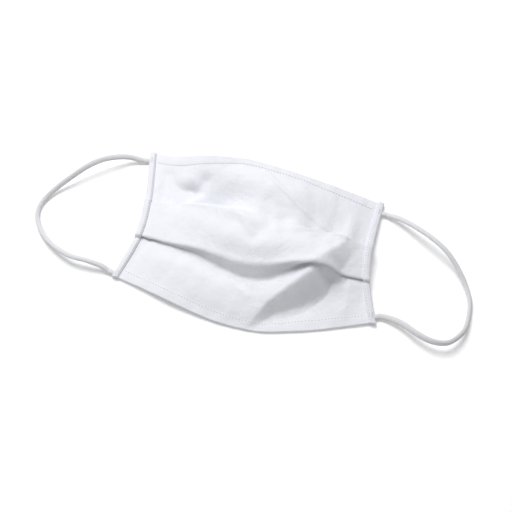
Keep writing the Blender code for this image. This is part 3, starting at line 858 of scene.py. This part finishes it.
def dent_height(x, y, panels, shares, across):
    """How far dents, ridges and waves raise each place of the grid."""
    names = np.array(panels)
    lower_share = np.where(names == "lower", smooth_step(np.array(shares) / LOWER_DENT_FADE), 0.0)[:, None]
    total = np.zeros_like(x)
    for where, half_width, height, line in DENTS:
        away = near_line(np.array(line), x, y)[0]
        total += height * np.exp(-((away / half_width) ** 2)) * (lower_share if where == "lower" else 1.0)
    for length, degrees, phase, height in WAVES:
        a = math.radians(degrees)
        total += height * np.sin((x * math.cos(a) + y * math.sin(a)) * 2 * np.pi / length + phase)
    fade = smooth_step(across / DENT_FADE) * smooth_step((1 - across) / DENT_FADE)
    return total * fade[None, :]


def on_table(z):
    """Keeps the middle of the wall above the table, levelling off softly as the cloth comes near it."""
    lowest, soft = HEM_WALL / 2 + PIECE_GAP, CLOTH_WALL / 2
    return lowest + soft * np.logaddexp(0, (z - lowest) / soft)


print(len(DENTS), "dents and ridges,", len(WAVES), "waves")

# %% [markdown]
# ## The whole cloth
# Two hundred columns of cuts make the cloth. One more column at each end lies tucked inside the side strip.
# The cloth's flat size is measured on the finished grid: along the top hem, and down the middle cut.

# %% The cloth's grid
COLUMNS = 200
under_strip = STRIP_WIDTH - STRIP_WALL
across = np.array([0.0, *np.linspace(0, 1, COLUMNS + 1), 1.0])
under = np.array([-under_strip, *np.zeros(COLUMNS + 1), under_strip])
cuts = [cut(a, u) for a, u in zip(across, under)]
PANELS, SHARES = cuts[0][1], cuts[0][2]
cloth = np.stack([points for points, _, _ in cuts], axis=1)
cloth[:, :, 2] += dent_height(cloth[:, :, 0], cloth[:, :, 1], PANELS, SHARES, across)
cloth[:, :, 2] = on_table(cloth[:, :, 2])
cloth_along = distances(cloth[:, COLUMNS // 2])
cloth_across = distances(cloth[0])
print("cloth", cloth.shape, "flat size", round(cloth_across[-1], 4), "x", round(cloth_along[-1], 4), "m")

# %% [markdown]
# ## The cloth piece
# The grid becomes a real wall with a Solidify modifier. The hems are folded double, so a vertex group
# makes the wall thicker between the edge and the stitches, most of all halfway. A small Bevel rounds the
# wall's rim. The side strips get their wall the same way.

# %% Cloth with hems
RIM_WIDTH = 0.0003
RIM_SEGMENTS = 2
RIM_ANGLE = math.radians(60)
# How softly a hem ends, the share of its thickness that comes from its puff, and the least weight
HEM_SOFT = 0.0006
HEM_PUFF = 0.25
LEAST_WEIGHT = 0.01


def add_wall(item, thickness, group, thin):
    """A wall with a rounded rim, full where the vertex group's weight is 1 and thin where it is 0."""
    wall = item.modifiers.new("Wall", "SOLIDIFY")
    wall.thickness = thickness
    wall.offset = 0.0
    wall.use_rim = True
    wall.vertex_group = group.name
    wall.thickness_vertex_group = thin / thickness
    rim = item.modifiers.new("Rim", "BEVEL")
    rim.width = RIM_WIDTH
    rim.segments = RIM_SEGMENTS
    rim.limit_method = "ANGLE"
    rim.angle_limit = RIM_ANGLE


def hem_weights():
    """How thick the wall is, row by row, from 0 for one layer to 1 for a hem."""
    weights = np.zeros(len(cloth_along))
    for away, width in ((cloth_along, TOP_HEM_WIDTH), (cloth_along[-1] - cloth_along, HEM_WIDTH)):
        band = 1 - smooth_step((away - width + HEM_SOFT / 2) / HEM_SOFT)
        weights += band * (1 - HEM_PUFF + HEM_PUFF * np.sin(np.pi * np.clip(away / width, 0, 1)))
    return weights


def make_cloth():
    rows = cloth[::-1]
    item = grid_piece("cotton_panel", rows, cloth_across, cloth_along[-1] - cloth_along[::-1], COTTON)
    group = item.vertex_groups.new(name="Hem")
    columns = rows.shape[1]
    for i, weight in enumerate(hem_weights()[::-1]):
        if weight > LEAST_WEIGHT:
            group.add(list(range(i * columns, (i + 1) * columns)), float(weight), "REPLACE")
    add_wall(item, HEM_WALL, group, CLOTH_WALL)
    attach(item, "root")
    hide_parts("mask_body")
    return item


cotton_panel = make_cloth()
print(cotton_panel.name, len(cotton_panel.data.polygons), "grid faces")

# %% [markdown]
# ## Side strips
# A narrow strip of the same cotton is folded round each pleated side and sewn down. It steps up where the
# centre panel starts, and down again where it ends. The strip is a grid too: one way goes from its inner
# edge over the top, round the outside and back underneath, and the other way goes down the side. Between
# the stitches and the outer edge the strip puffs up a little, which gives the soft light line along the
# mask's sides.

# %% Side strips
STRIP_STEP = 0.00055
STRIP_PUFF = 0.00035
STRIP_ROUND = 0.0014
STRIP_STITCH_IN = 0.0011
# How softly the strip steps up and down, how far its inner edge is pressed down, and the wall left there
STRIP_RAMP = 0.0012
EDGE_PRESS = 0.00068
EDGE_WALL = 0.00018
# Shares of the strip's top, counted from its inner edge: where the press ends and where the puff starts
PRESS_END = 0.45
PUFF_START = 0.2
STRIP_TOP_POINTS = 6
STRIP_ROUND_POINTS = 13


def side_rows(side):
    """The cloth's end at one side as (y, height) pairs, for the outer panels and for the centre panel."""
    column = cloth[:, 1 if side == "left" else -2]
    names = np.array(PANELS)
    flat = column[(names == "upper") | (names == "lower")][::-1]
    raised = column[names == "centre"][::-1]
    return flat[:, 1:], raised[:, 1:]


def strip_heights(side, y):
    """Heights of the middle of the strip's wall under and over the pleated end, at places along it."""
    flat, raised = side_rows(side)
    reach = CLOTH_WALL / 2 + PIECE_GAP + STRIP_WALL / 2
    base = np.interp(y, flat[:, 0], flat[:, 1])
    over = np.interp(y, raised[:, 0], raised[:, 1])
    inside = smooth_step((y - raised[0, 0] + LAYER_PITCH / 2 + reach) / STRIP_RAMP + 0.5)
    inside = inside * smooth_step((raised[-1, 0] + LAYER_PITCH / 2 + reach - y) / STRIP_RAMP + 0.5)
    return base - reach, base + reach + inside * (over - base)


def strip_section(side, outer, bottom, top):
    """X and height round the strip: from its inner edge over the top, round the outside and back below."""
    outwards = OUTWARDS[side]
    inner = outer - outwards * STRIP_WIDTH
    corner = min((top - bottom) / 2, STRIP_ROUND)
    shoulder = outer - outwards * STRIP_WALL / 2 - outwards * corner
    upright = (top - bottom) / 2 - corner
    s = np.linspace(0, 1, STRIP_TOP_POINTS + 1)[:-1]
    puff = STRIP_PUFF * np.sin(np.pi * np.clip((s - PUFF_START) / (1 - PUFF_START), 0, 1)) ** 2
    puff = puff - EDGE_PRESS * (1 - smooth_step(s / PRESS_END))
    section = [(inner + t * (shoulder - inner), top + h) for t, h in zip(s, puff)]
    for a in np.radians(np.linspace(90, -90, STRIP_ROUND_POINTS)):
        height = (top + bottom) / 2 + upright * np.sign(round(math.sin(a), 6)) + corner * math.sin(a)
        section.append((shoulder + outwards * corner * math.cos(a), height))
    return section + [(inner + t * (shoulder - inner), bottom) for t in s[::-1]]


def make_strip(side):
    low, high = SIDE_ENDS[side]
    y = np.linspace(low, high, round((high - low) / STRIP_STEP) + 1)
    edge = side_x(side, (y - low) / (high - low))
    sections = [strip_section(side, *row) for row in zip(edge, *strip_heights(side, y))]
    points = np.array([[(x, place, z) for x, z in section] for place, section in zip(y, sections)])
    if side == "left":
        points = points[:, ::-1]
    name = "side_strip_" + side
    girth = distances(points[len(points) // 2])
    item = grid_piece(name, points, girth, distances(points[:, 0]), STRIP_COTTON)
    columns = points.shape[1]
    edge_column = columns - 1 if side == "left" else 0
    thick = item.vertex_groups.new(name="Body")
    thick.add([k for k in range(columns * len(points)) if k % columns != edge_column], 1.0, "REPLACE")
    add_wall(item, STRIP_WALL, thick, EDGE_WALL)
    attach(item, "root")
    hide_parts("side_hem_" + side)
    print(item.name, len(item.data.polygons), "grid faces")
    return item


side_strips = [make_strip("left"), make_strip("right")]

# %% [markdown]
# ## Stitches
# A row of straight stitches runs along both hems and down each strip. Each stitch is a short thread that
# bulges out of the cloth and dives back in, so it is a small stretched sphere, half sunk. All stitches of
# a row are one joined mesh: an operator makes each sphere with a matrix that lays it along the row.

# %% Stitches
STITCH_LENGTH = 0.0015
STITCH_WIDTH = 0.00060
SEGMENTS, RINGS = 8, 6


def frame_along(way, up):
    """A turn whose X runs along the stitch and whose Z points out of the cloth."""
    x = Vector(way).normalized()
    y = Vector(up).cross(x).normalized()
    return Matrix((x, y, x.cross(y))).transposed().to_4x4()


def read_line(values, along, at):
    return np.array([np.interp(at, along, values[:, i]) for i in range(3)])


def stitch_row(name, line, normals, slot, pitch=STITCH_PITCH, length=STITCH_LENGTH):
    """Stitches one pitch apart on a line of surface points."""
    along = distances(line)
    size = Matrix.Diagonal((length / 2, STITCH_WIDTH / 2, STITCH_WIDTH / 2, 1.0))
    thread = bmesh.new()
    count = int(along[-1] / pitch)
    for at in (np.arange(count) + 0.5) * pitch:
        place = read_line(line, along, at)
        turn = frame_along(read_line(line, along, at + pitch / 4) - place, read_line(normals, along, at))
        matrix = Matrix.Translation(place) @ turn @ size
        bmesh.ops.create_uvsphere(thread, u_segments=SEGMENTS, v_segments=RINGS, radius=1.0, matrix=matrix)
    for face in thread.faces:
        face.smooth = True
    item = finished_piece(thread, name, THREAD)
    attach(item, "root")
    print(name, count, "stitches")
    return item


print("a stitch is", STITCH_LENGTH, "m long, one every", STITCH_PITCH, "m")

# %% Hem stitches
def outer_surface(row):
    """Points on the outer face along a row of the cloth, clear of the strips, and the normals there."""
    normal = np.cross(np.gradient(cloth, axis=0), np.gradient(cloth, axis=1))
    normal /= np.linalg.norm(normal, axis=2)[:, :, None]
    normal *= np.where(normal[:, :, 2:] < 0, -1.0, 1.0)
    return cloth[row, 2:-2] + normal[row, 2:-2] * CLOTH_WALL / 2, normal[row, 2:-2]


top_row = int(np.searchsorted(cloth_along, TOP_HEM_WIDTH))
bottom_row = int(np.searchsorted(cloth_along, cloth_along[-1] - HEM_WIDTH))
hem_stitches = [
    stitch_row("hem_stitches_top", *outer_surface(top_row), "cotton"),
    stitch_row("hem_stitches_bottom", *outer_surface(bottom_row), "cotton"),
]

# %% [markdown]
# ## Strip stitches and bar tacks
# The strips' stitches run along their inner edges. Over each end of an ear loop a bar tack, a dense block
# of shorter stitches, holds the elastic in the strip.

# %% Strip stitches and bar tacks
STRIP_LINE_POINTS = 120
# A bar tack's width along the side, its stitches' pitch, its rows and columns, and its gap to the round
TACK_WIDTH = 0.0036
TACK_PITCH = 0.0009
TACK_ROWS = 5
TACK_COLUMNS = 3
TACK_IN = 0.0004


def strip_stitches(side):
    low, high = SIDE_ENDS[side]
    y = np.linspace(low + STITCH_PITCH / 2, high - STITCH_PITCH / 2, STRIP_LINE_POINTS)
    over = strip_heights(side, y)[1]
    inner = side_x(side, (y - low) / (high - low)) - OUTWARDS[side] * (STRIP_WIDTH - STRIP_STITCH_IN)
    line = np.stack([inner, y, over + STRIP_WALL / 2], axis=1)
    normals = np.tile((0.0, 0.0, 1.0), (len(line), 1))
    return stitch_row("strip_stitches_" + side, line, normals, "strip_cotton")


def bar_tack(side, end):
    low, high = SIDE_ENDS[side]
    middle = low + LOOP_ENDS[side][0 if end == "upper" else 1] * (high - low)
    places = []
    for y in middle + np.linspace(-0.5, 0.5, TACK_ROWS) * TACK_WIDTH:
        over = float(strip_heights(side, np.array([y]))[1][0]) + STRIP_WALL / 2
        outer = float(side_x(side, (y - low) / (high - low)))
        for inwards in np.linspace(STRIP_ROUND + TACK_IN, STRIP_WIDTH - STRIP_STITCH_IN, TACK_COLUMNS):
            places.append((outer - OUTWARDS[side] * inwards, y, over))
    normals = np.tile((0.0, 0.0, 1.0), (len(places), 1))
    name = "bar_tack_" + side + "_" + end
    return stitch_row(name, np.array(places), normals, "strip_cotton", TACK_PITCH, TACK_PITCH)


strip_threads = [strip_stitches("left"), strip_stitches("right")]
bar_tacks = [bar_tack(side, end) for side in ("left", "right") for end in ("upper", "lower")]

# %% [markdown]
# ## The cloth's flat size
# The flat size that the cloth is cut to, measured on the finished grid.

print("sheet cut to", round(float(cloth_across[-1]), 4), "x", round(float(cloth_along[-1]), 4), "m")

# %% [markdown]
# ## Floor and light
# The photograph is a product shot on pure white: a large soft lamp behind the mask and to its left, white
# all round, and a floor so bright that only the shadows show on it. The floor gets a little glow of its
# own, which stands for the second lamp that a studio points at the background. The plain view transform
# keeps white white.

# %% Floor
FLOOR_REACH = 1.5
FLOOR_COLOUR = (0.93, 0.93, 0.93)
FLOOR_GLOW = 0.15


def make_floor():
    floor = bmesh.new()
    bmesh.ops.create_grid(floor, x_segments=1, y_segments=1, size=FLOOR_REACH)
    made, tree, shader = material("White table", FLOOR_COLOUR, 1.0, 0.0)
    shader.inputs["Emission Color"].default_value = (1.0, 1.0, 1.0, 1.0)
    shader.inputs["Emission Strength"].default_value = FLOOR_GLOW
    print("floor glows at", FLOOR_GLOW)
    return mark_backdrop(finished_piece(floor, "floor", made))


make_floor()

# %% Light
KEY_TARGET = Vector((0.0, 0.0, 0.01))
KEY_AZIMUTH = 219
KEY_ELEVATION = 62
KEY_DISTANCE = 1.1
KEY_SIZE = 0.80
KEY_ENERGY = 12.5
KEY_COLOUR = (0.98, 0.985, 1.0)
ROOM_LIGHT = 0.31
ROOM_COLOUR = (1.0, 0.995, 0.985, 1.0)

lamp = bpy.data.objects.new("soft_lamp", bpy.data.lights.new("soft_lamp", "AREA"))
lamp.data.shape = "DISK"
lamp.data.size = KEY_SIZE
lamp.data.energy = KEY_ENERGY
lamp.data.color = KEY_COLOUR
aim(lamp, KEY_TARGET + KEY_DISTANCE * direction(KEY_AZIMUTH, KEY_ELEVATION), KEY_TARGET)
room = bpy.data.worlds.new("white_room")
room.use_nodes = True
background = room.node_tree.nodes["Background"]
background.inputs["Color"].default_value = ROOM_COLOUR
background.inputs["Strength"].default_value = ROOM_LIGHT
bpy.context.scene.world = room
bpy.context.scene.view_settings.view_transform = "Standard"
print("lamp at", [round(value, 2) for value in lamp.location], "energy", KEY_ENERGY)
